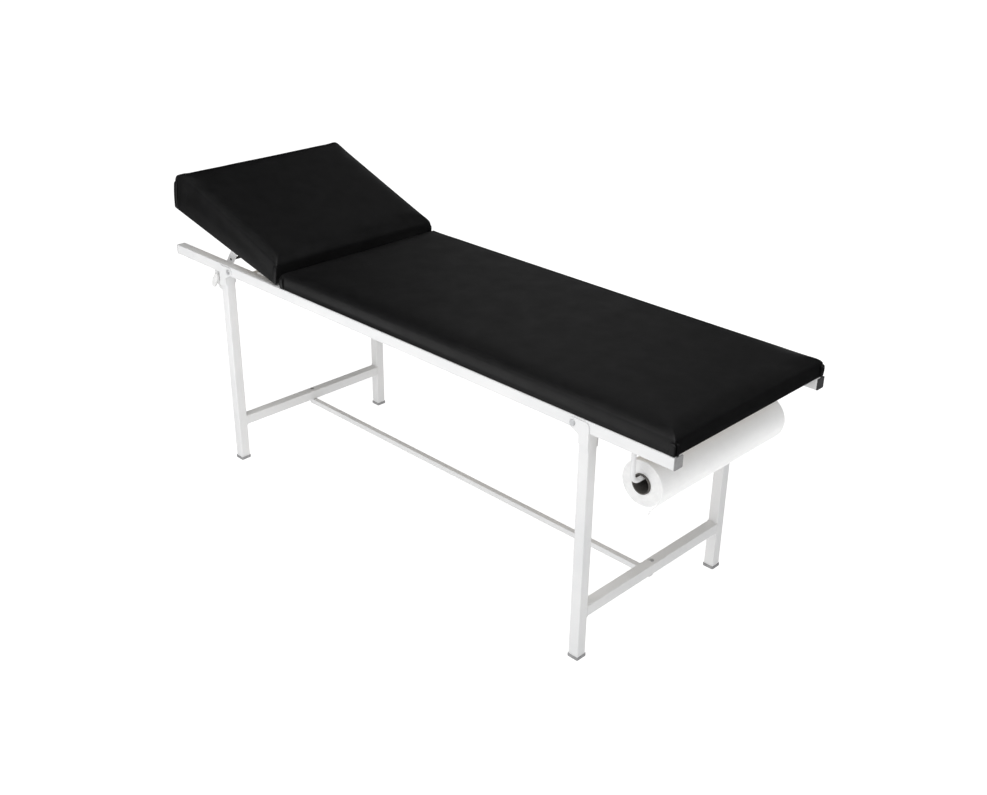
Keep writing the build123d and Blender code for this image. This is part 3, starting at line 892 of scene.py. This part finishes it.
def make_paper_tail():
    """The free end of the paper, which hangs off the roll's lower side."""
    half = ROLL_HALF - 1.5 * MM
    sides = []
    for side in (-0.5, 0.5):
        rows = []
        for r in range(TAIL_ROWS + 1):
            share = r / TAIL_ROWS
            row = []
            for c in range(TAIL_COLUMNS + 1):
                y = half * (2 * (c / TAIL_COLUMNS) ** TAIL_CROWDING - 1)
                ripple = TAIL_RIPPLE * noise.noise(Vector((y * TAIL_RIPPLES, 0.4, 3)))
                here = tail_line(share, y, ripple)
                before = tail_line(share - TAIL_NEARBY, y, ripple)
                after = tail_line(share + TAIL_NEARBY, y, ripple)
                ahead = (after - before).normalized()
                across = Vector((-ahead.z, 0, ahead.x)) * TAIL_THICKNESS * side
                row.append(ROLL_CENTRE + here + across + Vector((0, y, 0)))
            rows.append(row)
        sides.append(rows)
    columns = TAIL_COLUMNS + 1
    layer = columns * (TAIL_ROWS + 1)
    vertices = [v for rows in sides for row in rows for v in row]
    faces = []
    for r in range(TAIL_ROWS):
        for c in range(TAIL_COLUMNS):
            a = r * columns + c
            quad = (a, a + 1, a + columns + 1, a + columns)
            faces.append(quad)
            faces.append(tuple(layer + v for v in reversed(quad)))
    rim = list(range(columns))
    rim += [r * columns + TAIL_COLUMNS for r in range(1, TAIL_ROWS + 1)]
    rim += [TAIL_ROWS * columns + c for c in range(TAIL_COLUMNS - 1, -1, -1)]
    rim += [r * columns for r in range(TAIL_ROWS - 1, 0, -1)]
    for a, b in zip(rim, rim[1:] + rim[:1]):
        faces.append((a, b, layer + b, layer + a))
    tail = add_mesh("paper_tail", vertices, faces, LOOKS["paper"], "roll")


# --- Welds ---------------------------------------------------------------------------------------

WELD_RADIUS = 1.3 * MM
WELD_STEP = 2.6 * MM
WELD_JITTER = 0.12
WELD_WOBBLE = 0.22
WELD_INTO_TUBE = 0.2 * MM
WELD_INTO_CROSSBAR = 0.3 * MM


def weld_bead(shape, corners, closed=False):
    """A bead of small overlapping ripples along a line of corners."""
    points = []
    spans = list(zip(corners, corners[1:] + corners[:1])) if closed else list(zip(corners, corners[1:]))
    for start, end in spans:
        start, end = Vector(start), Vector(end)
        steps = max(2, round((end - start).length / WELD_STEP))
        for i in range(steps):
            jitter = Vector([dice.uniform(-WELD_JITTER, WELD_JITTER) * MM for _ in range(3)])
            points.append(start.lerp(end, i / steps) + jitter)
    if not closed:
        points.append(Vector(corners[-1]))
    shape.tube(points, WELD_RADIUS, sides=8, closed=closed, wobble=WELD_WOBBLE)


def weld_ring(shape, x, y, z, half):
    """A bead round a square tube that butts a face of constant Y."""
    weld_bead(shape, [(x - half, y, z - half), (x + half, y, z - half),
                      (x + half, y, z + half), (x - half, y, z + half)], closed=True)


def make_frame_welds():
    """Beads where the cross tubes meet the side rails."""
    shape = Shape()
    for place in ("headrest", "hinge", "middle", "foot"):
        low, high = (Vector(v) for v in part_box(f"cross_tube_{place}"))
        centre = (low + high) / 2
        half = (high.x - low.x) / 2
        for _, sign in SIDES:
            weld_ring(shape, centre.x, sign * (RAIL_INNER - WELD_INTO_TUBE), centre.z, half)
    shape.piece("frame_welds", "paint", "table", "white_paint")


def make_leg_welds():
    """Beads where each crossbar meets its two legs."""
    for end, _ in ENDS:
        shape = Shape()
        leg_inner = -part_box(f"leg_{end}_near")[1][1]
        low, high = (Vector(v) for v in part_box(f"crossbar_{end}"))
        centre = (low + high) / 2
        half = (high.x - low.x) / 2
        for _, sign in SIDES:
            weld_ring(shape, centre.x, sign * (leg_inner - WELD_INTO_CROSSBAR), centre.z, half)
        shape.piece(f"leg_welds_{end}", "paint", f"{end}_leg_frame", "white_paint")


# --- Underside -----------------------------------------------------------------------------------

STAPLE_WIDTH = 10 * MM
STAPLE_WIRE = 0.5 * MM
STAPLE_PITCH = 46 * MM
STAPLE_STAGGER = 4 * MM
HEM_WIDTH = 38 * MM
HEM_THICKNESS = 1.2 * MM
HEM_CELL = 8 * MM
HEM_ROWS = 3
HEM_PUCKER = 0.4 * MM
RAIL_HEM_WIDTH = 14 * MM
HEADREST_SIDE_HEM_WIDTH = 30 * MM


def staple(shape, centre, along, placed):
    """The crown of a staple that is pressed into the turned-under cover."""
    half = along.normalized() * STAPLE_WIDTH / 2
    proud = Vector((0, 0, -STAPLE_WIRE / 2))
    sunk = Vector((0, 0, HEM_THICKNESS))
    start, end = centre - half, centre + half
    line = [start + sunk, start + proud, centre + proud, end + proud, end + sunk]
    shape.tube([placed(point) for point in line], STAPLE_WIRE, sides=6)


def hem_strip(strips, staples, start, end, inward, width, placed):
    """One run of the cover's edge, drawn over the board's edge and stapled, with a wavy cut edge."""
    start, end, inward = Vector(start), Vector(end), Vector(inward)
    length = (end - start).length
    along = (end - start) / length
    steps = max(2, round(length / HEM_CELL))
    lower = []
    for i in range(steps + 1):
        place = i / steps * length
        cut = width * (1 + 0.07 * noise.noise(Vector((place * 14, start.x * 5, start.y * 5))))
        for row in range(HEM_ROWS):
            share = row / (HEM_ROWS - 1)
            pucker = HEM_PUCKER * abs(math.sin(math.pi * place / STAPLE_PITCH)) * share
            lower.append(start + along * place + inward * cut * share - Vector((0, 0, pucker)))
    upper = [point + Vector((0, 0, HEM_THICKNESS)) for point in lower]
    count = len(lower)
    faces = []
    for i in range(steps):
        for row in range(HEM_ROWS - 1):
            a = i * HEM_ROWS + row
            faces.append((a, a + 1, a + 1 + HEM_ROWS, a + HEM_ROWS))
            faces.append((count + a + HEM_ROWS, count + a + 1 + HEM_ROWS, count + a + 1, count + a))
        for row in (0, HEM_ROWS - 1):
            a = i * HEM_ROWS + row
            faces.append((a, a + HEM_ROWS, count + a + HEM_ROWS, count + a))
    for i in (0, steps):
        for row in range(HEM_ROWS - 1):
            a = i * HEM_ROWS + row
            faces.append((a, a + 1, count + a + 1, count + a))
    strips.add([placed(point) for point in lower + upper], faces)
    for i in range(1, int(length / STAPLE_PITCH)):
        shift = dice.uniform(-STAPLE_STAGGER, STAPLE_STAGGER)
        spot = start + along * (i * STAPLE_PITCH + shift) + inward * width * 0.7
        staple(staples, spot, along + inward * dice.uniform(-0.25, 0.25), placed)


def hinge_clear_spans(half):
    """The stretches of a hinge-side edge that the two hinges leave free."""
    leaf_low, leaf_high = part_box("hinge_leaf_fixed_far")
    inner = leaf_low[1] - 1 * MM
    outer = leaf_high[1] + 1 * MM
    return (-half, -outer), (-inner, inner), (outer, half)


def finish_underside(name, body, strips, staples):
    strips.piece(f"{name}_hem", "leather", body, "black_upholstery")
    staples.piece(f"{name}_staples", "zinc", body, "zinc_steel")


def make_mattress_hem():
    """Between the rails, the cover is turned under the mattress board on all sides."""
    strips, staples = Shape(), Shape()
    board_low, board_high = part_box("mattress_board")
    z = board_low[2] - HEM_THICKNESS
    half = RAIL_INNER - 0.5 * MM
    head, foot = board_low[0] - 9 * MM, board_high[0] + 9 * MM

    def placed(point):
        return Vector(point)

    for _, sign in SIDES:
        hem_strip(strips, staples, (head, sign * half, z), (foot, sign * half, z),
                  (0, -sign, 0), RAIL_HEM_WIDTH, placed)
    inner = half - RAIL_HEM_WIDTH * 1.1
    hem_strip(strips, staples, (foot, -inner, z), (foot, inner, z), (-1, 0, 0), HEM_WIDTH, placed)
    for low, high in hinge_clear_spans(inner):
        hem_strip(strips, staples, (head, low, z), (head, high, z), (1, 0, 0), HEM_WIDTH, placed)
    finish_underside("mattress", "table", strips, staples)


def make_headrest_hem():
    """The headrest's cover is turned under its board in the same way."""
    strips, staples = Shape(), Shape()
    z = HEADREST_UNDER - 0.3 * MM - HEM_THICKNESS
    half = HEADREST.width / 2 - 4 * MM
    hinge_side = -HEADREST_GAP - 5 * MM
    head_side = hinge_side - HEADREST.length + 5 * MM
    for _, sign in SIDES:
        hem_strip(strips, staples, (head_side, sign * half, z), (hinge_side, sign * half, z),
                  (0, -sign, 0), HEADREST_SIDE_HEM_WIDTH, tilted)
    inner = half - HEADREST_SIDE_HEM_WIDTH * 1.1
    hem_strip(strips, staples, (head_side, -inner, z), (head_side, inner, z), (1, 0, 0), HEM_WIDTH, tilted)
    for low, high in hinge_clear_spans(inner):
        hem_strip(strips, staples, (hinge_side, low, z), (hinge_side, high, z),
                  (-1, 0, 0), HEM_WIDTH, tilted)
    finish_underside("headrest", "headrest", strips, staples)


def make_stage():
    make_floor(pale_floor())
    make_camera()
    make_studio()


dress_cad_nodes()
make_cushions()
make_paper_wound()
make_paper_tail()
make_frame_welds()
make_leg_welds()
make_mattress_hem()
make_headrest_hem()
make_stage()
